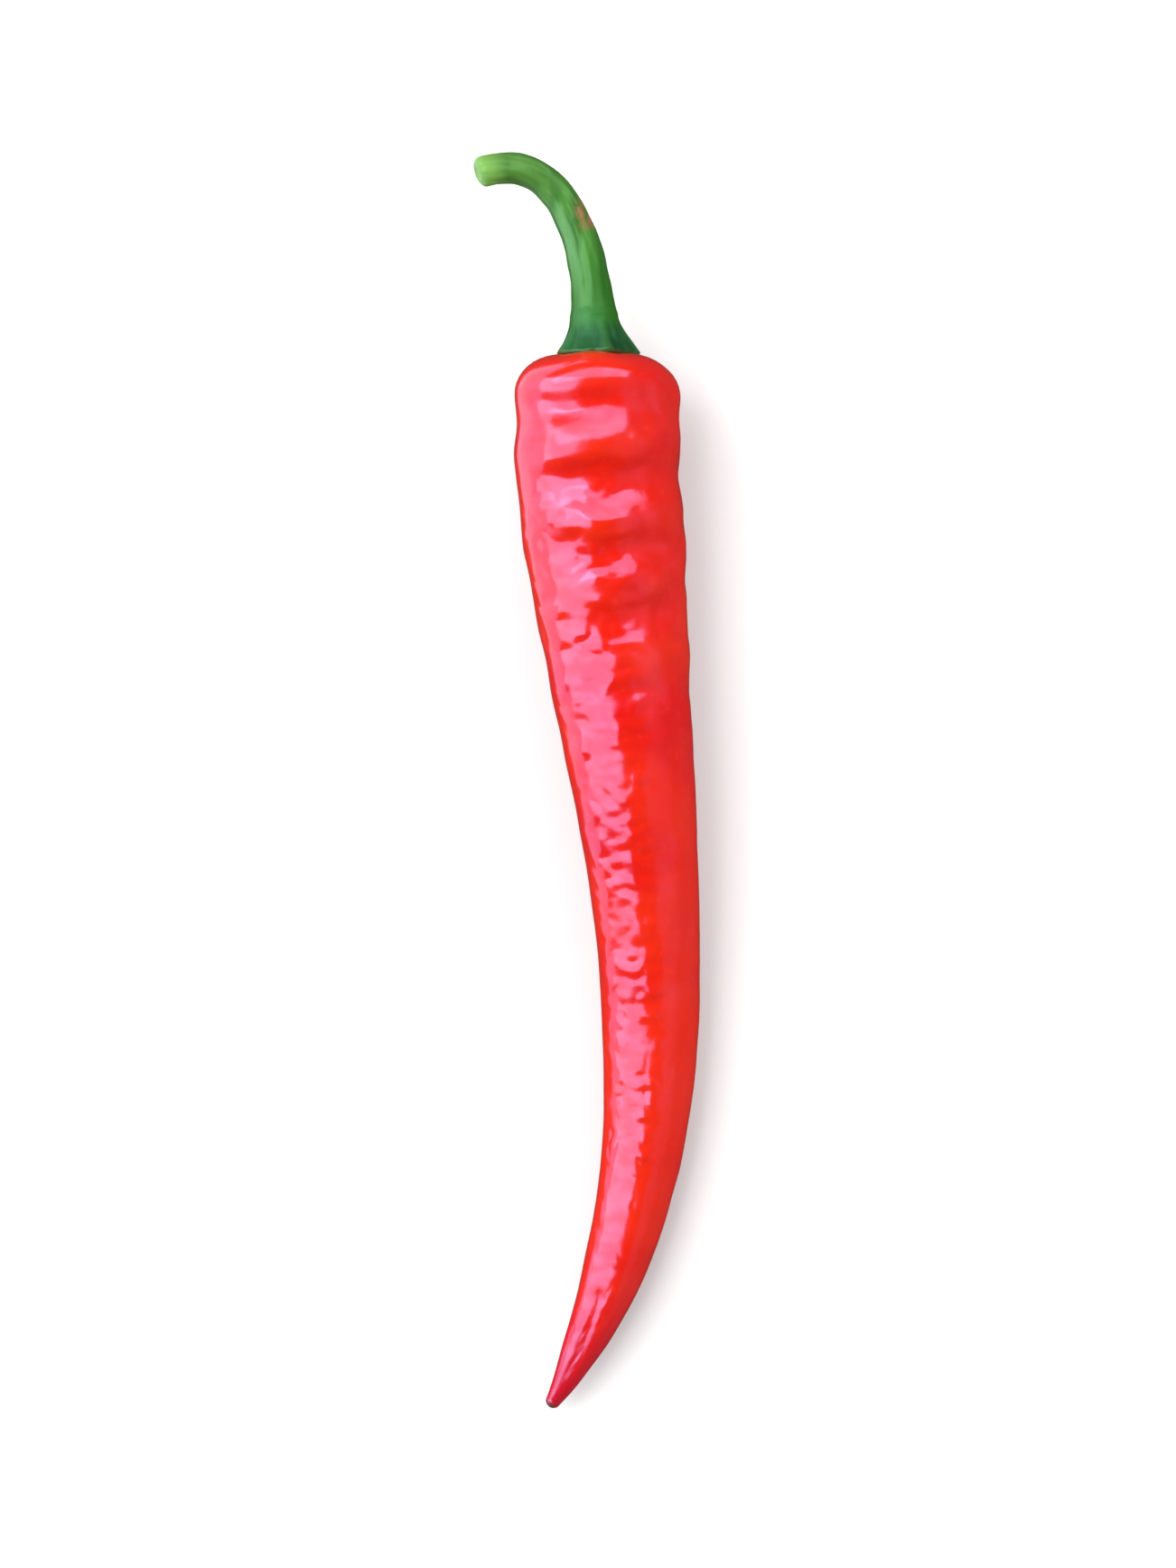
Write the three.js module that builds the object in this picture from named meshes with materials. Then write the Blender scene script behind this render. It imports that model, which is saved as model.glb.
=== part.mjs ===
// A ripe chilli pepper, picked with its stem, lying on a flat surface.
//
// Three organs make it up: the long red pod, the green calyx that sits on the pod's crown, and the stem, which
// leaves the calyx and bends over into a hook. Each one starts as a lathed form on a straight axis. It is shaped
// there, with its lobes, ripples and sepals, and is then laid along its own curved middle line.
//
// Millimetres, +Z up. The pod's tip points towards -Y and the stem towards +Y. The origin is under the middle of
// the whole chilli, on the surface that it lies on.
import * as THREE from "three";

const { MathUtils, Vector2, Vector3 } = THREE;
const UP = new Vector3(0, 0, 1);

// Pod
const POD_SPAN = 135; // crown to tip, straight along Y
const SHOULDER_RADIUS = 10.7; // the widest place
const TIP_RADIUS = 1; // of the rounded end
const CROWN_RADIUS = 4.6; // the level top, before it rounds over into the shoulder
const SHOULDER_ROUND = 5; // how far down the sides that rounding reaches
const CROWN_DIP = 0.6; // the hollow that the calyx sits in
const BOW = 7.1; // how far the middle line swings towards +X
const BOW_DISTANCE = 84; // from the crown to where it has swung furthest
const TIP_SWEEP = 13; // how far the tip comes back towards -X
const ARCH_START = 22; // distance from the crown where the underside leaves the surface
const ARCH_LENGTH = 66; // from there to where it comes down again
const ARCH_RISE = 1.2; // how far it lifts between the two
const TIP_RISE = 2.6; // how far the tip's underside lifts off the surface
const TIP_RISE_LENGTH = 34; // the length of pod that this lifting takes
const REST_PRESS = 0.35; // how deep the underside is pressed flat where it lies

// The pod's outline below the crown: share of its length, share of the shoulder radius.
const POD_OUTLINE = [
  [0, 0.965],
  [0.07, 0.998],
  [0.12, 0.99],
  [0.2, 0.932],
  [0.3, 0.832],
  [0.4, 0.745],
  [0.5, 0.665],
  [0.6, 0.582],
  [0.7, 0.516],
  [0.78, 0.464],
  [0.85, 0.39],
  [0.91, 0.287],
  [0.96, 0.18],
];

// Skin
const SECTION_FLATTEN = 0.03; // share by which the section is lower than it is wide
const LOBE_HEIGHT = 0.018; // of the three seams, as a share of the radius
const LOBE_TWIST = 0.011; // radians for each millimetre along the pod
const RIPPLE_HEIGHT = 0.3; // from the mean surface to a crest
const RIPPLE_PITCH = 5.6; // crest to crest
const RIPPLE_START = 2.5; // distance below the crown
const RIPPLE_END = 62;

// Calyx
const CALYX_RADIUS = 5;
const CALYX_HEIGHT = 4.8;
const CALYX_RIM = 0.45; // thickness of its edge
const CALYX_FLARE = 1.7; // power of the outline between neck and rim: 1 is a plain cone
const NECK_RADIUS = 3.05; // where the stem grows out of it
const SEPALS = 5;
const SEPAL_POINT = 0.45; // how far each sepal's tip stands out of the rim
const SEPAL_RIB = 0.12;

// Stem
const STEM_RADIUS = 2.55; // just past the neck
const HOOK_RADIUS = 1.88; // where it is thinnest
const STEM_END_RADIUS = 2; // the swollen end where it broke off the plant
const STEM_END_LENGTH = 5;
const STEM_END_ROUND = 1;
const NECK_FADE = 2.6; // distance in which the neck's extra thickness falls to about a third
const STEM_REACH = 23; // how far the hook's end is from the crown, along Y
const STEM_RUN = 16.2; // how strongly it sets out straight before it bends
const HOOK_REACH = 15; // sideways, towards -X
const HOOK_TURN = 10.7; // how strongly its end turns back
const HOOK_ANGLE = MathUtils.degToRad(21); // of the end, back from the X axis
const HOOK_RISE = 2.4; // how far the end is above the crown's middle
const HOOK_LIFT = MathUtils.degToRad(16); // of the end, up from the level

const SEAT_GAP = 0.3; // between one organ and the next

// Fineness of the meshes
const POD_SIDES = 36;
const BODY_RINGS = 54;
const ROUND_RINGS = 5;
const CALYX_SIDES = 40;
const CALYX_RINGS = 6;
const STEM_SIDES = 16;
const STEM_RINGS = 30;

const { cos, sin, tan, PI, sqrt, hypot, atan2, exp } = Math;

// A smooth function through [position, value] pairs.
function smoothThrough(pairs) {
  const curve = new THREE.CubicInterpolant(pairs.map((pair) => pair[0]), pairs.map((pair) => pair[1]), 1);
  return (position) => curve.evaluate(position)[0];
}

// The middle line as seen from above: down the pod from its crown, out to the bow and back to the tip.
function podPlan() {
  const bow = new Vector2(BOW, -BOW_DISTANCE);
  const tip = new Vector2(BOW - TIP_SWEEP, -POD_SPAN);
  const tail = POD_SPAN - BOW_DISTANCE;
  const plan = new THREE.CurvePath();
  plan.add(new THREE.CubicBezierCurve(
    new Vector2(0, 0),
    new Vector2(0, -BOW_DISTANCE * 0.4),
    new Vector2(BOW, -BOW_DISTANCE * 0.7),
    bow,
  ));
  plan.add(new THREE.CubicBezierCurve(
    bow,
    new Vector2(BOW, -BOW_DISTANCE - tail * 0.44),
    new Vector2(tip.x + TIP_SWEEP * 0.6, tip.y + tail * 0.24),
    tip,
  ));
  return plan;
}

const plan = podPlan();
const podLength = plan.getLength();
const outline = smoothThrough([
  ...POD_OUTLINE,
  [1 - TIP_RADIUS / podLength, TIP_RADIUS / SHOULDER_RADIUS],
]);

// The pod's radius at a distance along it, without the rounding at its two ends.
function bodyRadius(along) {
  return SHOULDER_RADIUS * outline(MathUtils.clamp(along, 0, podLength - TIP_RADIUS) / podLength);
}

// The pod's middle line in space. Its height puts the underside on the surface at the shoulder and again before
// the tip, with a low arch between the two.
class PodLine extends THREE.Curve {
  getPoint(t) {
    const { x, y } = plan.getPoint(t);
    const along = t * podLength;
    const archShare = MathUtils.clamp((along - ARCH_START) / ARCH_LENGTH, 0, 1);
    const arch = ARCH_RISE * sin(PI * archShare) ** 2;
    const tipRise = TIP_RISE * MathUtils.smoothstep(along, podLength - TIP_RISE_LENGTH, podLength);
    return new Vector3(x, y, bodyRadius(along) * (1 - SECTION_FLATTEN) - REST_PRESS + arch + tipRise);
  }
}

const podLine = new PodLine();
const crown = podLine.getPoint(0);
const outOfCrown = podLine.getTangent(0).negate();

// The stem's middle line, from the crown's middle to the hook's cut end.
function stalkLine() {
  const end = crown.clone().add(new Vector3(-HOOK_REACH, STEM_REACH, HOOK_RISE));
  const backFromEnd = new Vector3(cos(HOOK_ANGLE), sin(HOOK_ANGLE), -tan(HOOK_LIFT));
  return new THREE.CubicBezierCurve3(
    crown,
    crown.clone().addScaledVector(outOfCrown, STEM_RUN),
    end.clone().addScaledVector(backFromEnd, HOOK_TURN),
    end,
  );
}

const stalk = stalkLine();
const stalkLength = stalk.getLength();

// How far below the crown's top the pod's surface is, at a radius from its axis.
function crownDepth(radius) {
  if (radius <= CROWN_RADIUS) return (CROWN_DIP * (1 + cos((PI * radius) / CROWN_RADIUS))) / 2;
  const share = (radius - CROWN_RADIUS) / (bodyRadius(SHOULDER_ROUND) - CROWN_RADIUS);
  return SHOULDER_ROUND * (1 - sqrt(1 - Math.min(share, 1) ** 2));
}

// Moves each point of a lathed form: shape(radius, angle, height) gives its new radius and height.
function reshape(geometry, shape) {
  const places = geometry.getAttribute("position");
  for (let i = 0; i < places.count; i++) {
    const x = places.getX(i);
    const z = places.getZ(i);
    const angle = atan2(z, x);
    const { radius, height } = shape(hypot(x, z), angle, places.getY(i));
    places.setXYZ(i, radius * cos(angle), height, radius * sin(angle));
  }
}

// Lays a form made round the Y axis along a curved line: place(height) gives a point of the line and the
// direction of rising height there.
function layAlong(geometry, place) {
  const places = geometry.getAttribute("position");
  for (let i = 0; i < places.count; i++) {
    const { point, direction } = place(places.getY(i));
    const side = direction.clone().cross(UP).normalize();
    const up = side.clone().cross(direction);
    point.addScaledVector(side, places.getX(i)).addScaledVector(up, places.getZ(i));
    places.setXYZ(i, point.x, point.y, point.z);
  }
}

function onPod(height) {
  const t = MathUtils.clamp(-height / podLength, 0, 1);
  return { point: podLine.getPoint(t), direction: podLine.getTangent(t).negate() };
}

// Below the crown the stalk's line runs straight on into the pod, so that the calyx seats squarely.
function onStalk(height) {
  if (height <= 0) return { point: crown.clone().addScaledVector(outOfCrown, height), direction: outOfCrown };
  const t = Math.min(height / stalkLength, 1);
  return { point: stalk.getPointAt(t), direction: stalk.getTangentAt(t) };
}

// A lathe profile turned into a closed form: it starts and ends on the axis and runs from the bottom up.
function lathed(profile, sides) {
  const points = profile.map(([radius, height]) => new Vector2(radius, height));
  return new THREE.LatheGeometry(points, sides);
}

function podProfile() {
  const profile = [];
  for (let i = 0; i < ROUND_RINGS; i++) {
    const turn = ((PI / 2) * i) / ROUND_RINGS;
    profile.push([TIP_RADIUS * sin(turn), -podLength + TIP_RADIUS * (1 - cos(turn))]);
  }
  const bodyEnd = podLength - TIP_RADIUS;
  for (let i = 0; i <= BODY_RINGS; i++) {
    const along = MathUtils.lerp(bodyEnd, SHOULDER_ROUND, i / BODY_RINGS);
    profile.push([bodyRadius(along), -along]);
  }
  const shoulder = bodyRadius(SHOULDER_ROUND);
  for (let i = 1; i <= ROUND_RINGS; i++) {
    const turn = ((PI / 2) * i) / ROUND_RINGS;
    const radius = MathUtils.lerp(CROWN_RADIUS, shoulder, cos(turn));
    profile.push([radius, -SHOULDER_ROUND * (1 - sin(turn))]);
  }
  for (const share of [0.75, 0.5, 0.25, 0]) {
    profile.push([CROWN_RADIUS * share, -crownDepth(CROWN_RADIUS * share)]);
  }
  return profile;
}

// The pod's skin: a slightly flattened section with three low seams, and ripples that run round the shoulder
// and die out towards the tip and on the underside.
function podSkin(radius, angle, height) {
  const along = -height;
  const off = MathUtils.smoothstep(along, 0, SHOULDER_ROUND);
  const lobes = LOBE_HEIGHT * cos(3 * angle + LOBE_TWIST * along);
  const fade = MathUtils.smoothstep(along, RIPPLE_START, RIPPLE_START + RIPPLE_PITCH)
    * (1 - MathUtils.smoothstep(along, RIPPLE_END / 3, RIPPLE_END));
  const exposed = MathUtils.smoothstep(sin(angle), -0.7, 0.5);
  const wander = 0.9 * sin(2 * angle + 0.7) + 0.5 * sin(3 * angle);
  const ripple = RIPPLE_HEIGHT * fade * exposed * sin((2 * PI * along) / RIPPLE_PITCH + wander);
  const flatten = 1 - SECTION_FLATTEN * off * sin(angle) ** 2;
  return { radius: radius * flatten * (1 + lobes * off) + ripple, height };
}

// What would reach below the surface is pressed flat against it.
function pressFlat(geometry) {
  const places = geometry.getAttribute("position");
  for (let i = 0; i < places.count; i++) places.setZ(i, Math.max(places.getZ(i), 0));
}

function makePod() {
  const geometry = lathed(podProfile(), POD_SIDES);
  reshape(geometry, podSkin);
  layAlong(geometry, onPod);
  pressFlat(geometry);
  return geometry;
}

function calyxProfile() {
  const under = (radius) => SEAT_GAP - crownDepth(radius);
  const profile = [];
  for (let i = 0; i <= CALYX_RINGS; i++) {
    const radius = (CALYX_RADIUS * i) / CALYX_RINGS;
    profile.push([radius, under(radius)]);
  }
  const rimTop = under(CALYX_RADIUS) + CALYX_RIM;
  for (let i = 0; i <= CALYX_RINGS; i++) {
    const share = i / CALYX_RINGS;
    const radius = NECK_RADIUS + (CALYX_RADIUS - NECK_RADIUS) * (1 - share) ** CALYX_FLARE;
    profile.push([radius, MathUtils.lerp(rimTop, CALYX_HEIGHT, share)]);
  }
  profile.push([0, CALYX_HEIGHT]);
  return profile;
}

// Five sepals: each one is a low rib that ends in a point at the rim. The rim keeps to the crown as it moves out.
function calyxSepals(radius, angle, height) {
  const wave = cos(SEPALS * angle);
  const nearRim = MathUtils.smoothstep(radius, NECK_RADIUS, CALYX_RADIUS);
  const rib = height > CALYX_RIM ? SEPAL_RIB * wave * (1 - height / CALYX_HEIGHT) : 0;
  const moved = radius + SEPAL_POINT * nearRim * wave + rib;
  return { radius: moved, height: height + crownDepth(radius) - crownDepth(moved) };
}

function makeCalyx() {
  const geometry = lathed(calyxProfile(), CALYX_SIDES);
  reshape(geometry, calyxSepals);
  layAlong(geometry, onStalk);
  return geometry;
}

function stemProfile() {
  const start = CALYX_HEIGHT + SEAT_GAP;
  const roundStart = stalkLength - STEM_END_ROUND;
  const width = (along) => {
    const taper = MathUtils.mapLinear(along, start, roundStart, STEM_RADIUS, HOOK_RADIUS);
    const neck = (NECK_RADIUS - STEM_RADIUS) * exp((start - along) / NECK_FADE);
    const swell = MathUtils.smoothstep(along, stalkLength - STEM_END_LENGTH, roundStart);
    return taper + neck + (STEM_END_RADIUS - HOOK_RADIUS) * swell;
  };
  const profile = [[0, start]];
  for (let i = 0; i <= STEM_RINGS; i++) {
    const along = MathUtils.lerp(start, roundStart, i / STEM_RINGS);
    profile.push([width(along), along]);
  }
  const end = width(roundStart);
  for (let i = 1; i <= 3; i++) {
    const turn = (PI / 6) * i;
    profile.push([end - STEM_END_ROUND * (1 - cos(turn)), roundStart + STEM_END_ROUND * sin(turn)]);
  }
  profile.push([0, stalkLength]);
  return profile;
}

function makeStem() {
  const geometry = lathed(stemProfile(), STEM_SIDES);
  layAlong(geometry, onStalk);
  return geometry;
}

function organ(name, geometry, color, roughness) {
  geometry.computeVertexNormals();
  const mesh = new THREE.Mesh(geometry, new THREE.MeshStandardMaterial({ color, roughness, metalness: 0 }));
  mesh.name = name;
  return mesh;
}

const chilli = new THREE.Group();
chilli.add(organ("pod", makePod(), 0xd8201a, 0.22));
chilli.add(organ("calyx", makeCalyx(), 0x2f6b36, 0.5));
chilli.add(organ("stem", makeStem(), 0x63a852, 0.45));

const bounds = new THREE.Box3().setFromObject(chilli, true);
const middle = bounds.getCenter(new Vector3());
chilli.position.set(-middle.x, -middle.y, -bounds.min.z);

export default chilli;
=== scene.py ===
# %% [markdown]
# # A red chilli pepper
#
# This lesson dresses one ripe chilli pepper that lies on a pale table. The CAD model gives the three organs
# and their places: the pod, the calyx and the stem. Here each one gets the skin of the real thing: folds
# and fine waves on the pod, sepals and veins on the calyx, ridges and a scar on the stem.
#
# The frame comes first, because every piece takes its place from it. Its box is kept, and the camera is
# centred on it. Sizes on the table and round it are metres. Sizes on the chilli are millimetres until each
# organ is put in its place.

# %% Load the frame
import bisect
import math

import bmesh
import bpy
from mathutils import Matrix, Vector, noise
from mathutils.geometry import interpolate_bezier


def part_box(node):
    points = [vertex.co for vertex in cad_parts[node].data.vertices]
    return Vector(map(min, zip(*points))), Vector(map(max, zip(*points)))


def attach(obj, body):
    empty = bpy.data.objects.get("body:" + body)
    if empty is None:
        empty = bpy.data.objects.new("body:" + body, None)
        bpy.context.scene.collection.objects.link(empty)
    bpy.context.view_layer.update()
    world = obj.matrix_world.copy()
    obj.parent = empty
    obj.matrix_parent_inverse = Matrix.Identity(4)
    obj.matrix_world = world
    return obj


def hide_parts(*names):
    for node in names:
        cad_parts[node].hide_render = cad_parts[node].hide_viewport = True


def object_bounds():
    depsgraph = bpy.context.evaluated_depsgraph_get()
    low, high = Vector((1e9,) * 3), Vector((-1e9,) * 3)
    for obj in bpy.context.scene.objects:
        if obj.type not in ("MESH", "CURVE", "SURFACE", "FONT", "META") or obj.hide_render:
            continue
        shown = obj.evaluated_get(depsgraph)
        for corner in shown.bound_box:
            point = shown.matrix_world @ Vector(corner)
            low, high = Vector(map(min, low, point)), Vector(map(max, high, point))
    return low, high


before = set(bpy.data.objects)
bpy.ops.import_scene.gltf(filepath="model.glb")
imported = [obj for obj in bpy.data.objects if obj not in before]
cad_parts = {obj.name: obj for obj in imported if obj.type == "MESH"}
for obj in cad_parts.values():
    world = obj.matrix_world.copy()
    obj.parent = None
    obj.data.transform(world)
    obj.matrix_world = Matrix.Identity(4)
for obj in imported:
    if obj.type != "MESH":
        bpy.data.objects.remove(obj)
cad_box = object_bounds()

MM = 0.001
UP = Vector((0, 0, 1))
print("nodes", sorted(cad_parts), "box", [tuple(round(v, 4) for v in corner) for corner in cad_box])

# %% [markdown]
# ## The camera
#
# The chilli is shown from straight above, with its stem pointing up the frame. A long lens from far off
# keeps the view flat, so the taper that shows is the pod's own and not perspective.

# %% The camera
middle = (cad_box[0] + cad_box[1]) / 2
LENS = 120
SENSOR = 36
VIEW_WIDTH = 0.2

camera = bpy.data.objects.new("camera", bpy.data.cameras.new("camera"))
bpy.context.collection.objects.link(camera)
camera.data.sensor_width = SENSOR
camera.data.lens = LENS
camera.location = middle + UP * (VIEW_WIDTH * LENS / SENSOR)
bpy.context.scene.camera = camera
print("camera", round(camera.location.z, 3), "m above the table")

# %% [markdown]
# ## The table and the light
#
# A sweep is a floor that curves up into its own wall, so that no corner or horizon shows behind the chilli.
# It could be a bent sheet, but then it would only work from one side. This one is a shallow bowl: one line,
# spun all the way round. Reflections don't see it, so the lamps and cards alone decide what the skin shows.

# %% The sweep
SWEEP_RADIUS = 2.0
SWEEP_BEND = 0.8
SWEEP_HEIGHT = 1.5
SWEEP_SIDES = 64
BEND_STEPS = 12


def object_from(bm, name):
    """Turns a bmesh into an object at the origin."""
    mesh = bpy.data.meshes.new(name)
    bm.to_mesh(mesh)
    bm.free()
    mesh.shade_smooth()
    made = bpy.data.objects.new(name, mesh)
    bpy.context.collection.objects.link(made)
    return made


def spin_profile(bm, profile, axis, steps):
    """Draws a line through the profile's points, spins it all the way round and closes its ends."""
    verts = [bm.verts.new(point) for point in profile]
    edges = [bm.edges.new(pair) for pair in zip(verts, verts[1:])]
    bmesh.ops.spin(
        bm,
        geom=verts + edges,
        cent=(0, 0, 0),
        axis=axis,
        angle=math.tau,
        steps=steps,
        use_merge=True,
    )
    bmesh.ops.remove_doubles(bm, verts=bm.verts, dist=1e-6)
    bmesh.ops.recalc_face_normals(bm, faces=bm.faces)


def plain_paint(name, colour, roughness, specular):
    """An even material for what stands round the chilli."""
    paint = bpy.data.materials.new(name)
    paint.use_nodes = True
    shader = paint.node_tree.nodes["Principled BSDF"]
    shader.inputs["Base Color"].default_value = (*colour, 1)
    shader.inputs["Roughness"].default_value = roughness
    shader.inputs["Specular IOR Level"].default_value = specular
    return paint


sweep_profile = [(0, 0, 0), (SWEEP_RADIUS / 2, 0, 0)]
for i in range(BEND_STEPS + 1):
    turn = math.pi / 2 * i / BEND_STEPS
    out = SWEEP_RADIUS + SWEEP_BEND * math.sin(turn)
    sweep_profile.append((out, 0, SWEEP_BEND * (1 - math.cos(turn))))
sweep_profile.append((SWEEP_RADIUS + SWEEP_BEND, 0, SWEEP_HEIGHT))
bm = bmesh.new()
spin_profile(bm, sweep_profile, UP, SWEEP_SIDES)
sweep = object_from(bm, "sweep")
if sweep.data.polygons[0].normal.z < 0:
    sweep.data.flip_normals()
sweep.data.materials.append(plain_paint("white card", (0.62, 0.62, 0.62), roughness=0.9, specular=0.1))
sweep.visible_glossy = False
print("sweep", len(sweep.data.polygons), "faces")

# %% [markdown]
# The table falls off to grey far from the lamps, and in a studio the backdrop has lamps of its own. Here a
# second bowl hangs just inside the first one: clear near the chilli, and glowing softly further out. Only
# the camera sees it, so it adds no light to the chilli.

# %% The lit backdrop
GLOW_START = 0.5
GLOW_FULL = 1.5
GLOW_COLOUR = (0.9, 0.9, 0.9, 1)
BACKDROP_LIFT = 0.002
BACKDROP_SHRINK = 0.998

bm = bmesh.new()
backdrop_profile = [(GLOW_START, 0, BACKDROP_LIFT), (SWEEP_RADIUS / 2, 0, BACKDROP_LIFT)]
for out, _, up in sweep_profile[2:]:
    backdrop_profile.append((out * BACKDROP_SHRINK, 0, up + BACKDROP_LIFT))
spin_profile(bm, backdrop_profile, UP, SWEEP_SIDES)
backdrop = object_from(bm, "lit backdrop")
for ray in ("diffuse", "glossy", "transmission", "shadow"):
    setattr(backdrop, "visible_" + ray, False)
glow = bpy.data.materials.new("backdrop glow")
glow.use_nodes = True
nodes = glow.node_tree.nodes
nodes.clear()
place_of = nodes.new("ShaderNodeTexCoord")
reach = nodes.new("ShaderNodeVectorMath")
reach.operation = "LENGTH"
fade = nodes.new("ShaderNodeMapRange")
fade.interpolation_type = "SMOOTHSTEP"
fade.inputs["From Min"].default_value = GLOW_START
fade.inputs["From Max"].default_value = GLOW_FULL
clear = nodes.new("ShaderNodeBsdfTransparent")
light = nodes.new("ShaderNodeEmission")
light.inputs["Color"].default_value = GLOW_COLOUR
both = nodes.new("ShaderNodeMixShader")
surface = nodes.new("ShaderNodeOutputMaterial")
for output, socket in (
    (place_of.outputs["Object"], reach.inputs[0]),
    (reach.outputs["Value"], fade.inputs["Value"]),
    (fade.outputs["Result"], both.inputs[0]),
    (clear.outputs[0], both.inputs[1]),
    (light.outputs[0], both.inputs[2]),
    (both.outputs[0], surface.inputs["Surface"]),
):
    glow.node_tree.links.new(output, socket)
backdrop.data.materials.append(glow)
print("backdrop", len(backdrop.data.polygons), "faces")

# %% [markdown]
# A waxy skin shows the lamps as shapes, so the lamps are chosen by what they draw on it. A large soft box
# on the left draws the wide band down the pod's left side. A long strip beyond the stem catches the crown
# and those slopes of the folds that face it, so each fold gets a bright bar beside a dark hollow. A third
# lamp on the right only fills the shadows, so reflections don't see it. A weak sky does the rest.
#
# Each lamp is given by its radiance and not by its power, so that its brightness stays when its size changes.

# %% The lamps
LAMPS_AIM = (0, 0, 0.01)
SKY_STRENGTH = 0.06


def soft_box(name, centre, width, height, radiance):
    """A rectangular lamp that faces the chilli. The width runs level, the height is across it."""
    data = bpy.data.lights.new(name, "AREA")
    data.shape = "RECTANGLE"
    data.size = width
    data.size_y = height
    data.energy = radiance * math.pi * width * height
    lamp = bpy.data.objects.new(name, data)
    lamp.location = centre
    away = Vector(centre) - Vector(LAMPS_AIM)
    lamp.rotation_euler = away.to_track_quat("Z", "Y").to_euler()
    lamp.visible_camera = False
    bpy.context.collection.objects.link(lamp)
    return lamp


soft_box("left panel", (-0.54, 0.075, 0.447), width=0.83, height=1.12, radiance=4.4)
soft_box("far strip", (-0.1, 0.66, 0.75), width=2.4, height=0.74, radiance=3.3)
right_fill = soft_box("right fill", (0.8, -0.1, 0.5), width=1.2, height=0.8, radiance=3.9)
right_fill.visible_glossy = False

world = bpy.data.worlds.new("sky")
bpy.context.scene.world = world
world.use_nodes = True
background = world.node_tree.nodes["Background"]
background.inputs["Color"].default_value = (1.0, 1.0, 1.0, 1)
background.inputs["Strength"].default_value = SKY_STRENGTH
bpy.context.scene.view_settings.view_transform = "Standard"

# %% [markdown]
# What lies beside the chilli shows in its sides. Cards laid there choose what shows: a white one on the lit
# side makes the highlight run on to the edge, and a black one on the other side keeps that edge dark. Only
# reflections see these two, so they leave the table and the shadows as they are.

# %% The reflector cards
CARDS_MEET = -0.018
CARD_REACH = 0.5
CARD_LENGTH = 0.7
CARD_LIFT = 0.0001


def reflector(name, far, colour):
    """A card lying on the table, from the line where the two cards meet to far, along X."""
    bm = bmesh.new()
    bmesh.ops.create_grid(bm, x_segments=1, y_segments=1, size=0.5)
    bmesh.ops.scale(bm, vec=(abs(far - CARDS_MEET), CARD_LENGTH, 1), verts=bm.verts)
    bmesh.ops.translate(bm, vec=((CARDS_MEET + far) / 2, 0, CARD_LIFT), verts=bm.verts)
    made = object_from(bm, name)
    made.visible_camera = False
    made.visible_shadow = False
    made.visible_diffuse = False
    made.data.materials.append(plain_paint(name, colour, roughness=1.0, specular=0.0))


reflector("white reflector", -CARD_REACH, (0.68, 0.68, 0.85))
reflector("black reflector", CARD_REACH, (0.04, 0.04, 0.04))
print("two reflectors")

# %% [markdown]
# ## The pod's middle line
#
# A chilli is a turned form that has been bent. It is easiest to make it straight first and to lay it along
# its middle line afterwards, so the line comes first. Seen from above it runs straight from the crown, bows
# to the right and comes back at the tip. Its height follows the pod's own thickness, so that the underside
# touches the table at the shoulder and at the tail, with a low arch between them.
#
# These are the CAD model's sizes, in millimetres from the crown.

# %% The pod's sizes
POD_SPAN = 135  # crown to tip, straight along Y
SHOULDER_RADIUS = 10.7
TIP_RADIUS = 1
CROWN_RADIUS = 4.6  # the level top, before it rounds over into the shoulder
SHOULDER_ROUND = 5  # how far down the sides that rounding reaches
CROWN_DIP = 0.6  # the hollow that the calyx sits in
BOW = 7.1  # how far the middle line swings towards +X
BOW_DISTANCE = 84
TIP_SWEEP = 13  # how far the tip comes back towards -X
ARCH_START = 22
ARCH_LENGTH = 66
ARCH_RISE = 1.2
TIP_RISE = 2.6
TIP_RISE_LENGTH = 34
REST_PRESS = 0.35  # how deep the underside is pressed flat where it lies
SECTION_FLATTEN = 0.03
LOBE_HEIGHT = 0.018  # of three low seams, as a share of the radius
LOBE_TWIST = 0.011  # radians for each millimetre
PLAN_POINTS = 300  # on each of the two curves of the middle line

# The outline below the crown: share of the pod's length, share of the shoulder radius.
POD_OUTLINE = [
    (0, 0.965),
    (0.07, 0.998),
    (0.12, 0.99),
    (0.2, 0.932),
    (0.3, 0.832),
    (0.4, 0.745),
    (0.5, 0.665),
    (0.6, 0.582),
    (0.7, 0.516),
    (0.78, 0.464),
    (0.85, 0.39),
    (0.91, 0.287),
    (0.96, 0.18),
]


def clamp(value, low=0.0, high=1.0):
    return max(low, min(high, value))


def smoothstep(value, low, high):
    """Goes smoothly from 0 at low to 1 at high, whichever of the two is larger."""
    t = clamp((value - low) / (high - low))
    return t * t * (3 - 2 * t)


def mix(a, b, t):
    return a + (b - a) * t


def smooth_through(pairs):
    """A smooth function through (position, value) pairs."""
    xs = [x for x, _ in pairs]
    ys = [y for _, y in pairs]
    last = len(pairs) - 1

    def slope(i):
        a, b = max(i - 1, 0), min(i + 1, last)
        return (ys[b] - ys[a]) / (xs[b] - xs[a])

    slopes = [slope(i) for i in range(len(pairs))]

    def value(x):
        i = min(max(bisect.bisect_right(xs, x) - 1, 0), last - 1)
        width = xs[i + 1] - xs[i]
        t = clamp((x - xs[i]) / width)
        return (
            ys[i] * (1 + 2 * t) * (1 - t) ** 2
            + ys[i + 1] * t * t * (3 - 2 * t)
            + slopes[i] * width * t * (1 - t) ** 2
            - slopes[i + 1] * width * t * t * (1 - t)
        )

    return value


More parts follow.
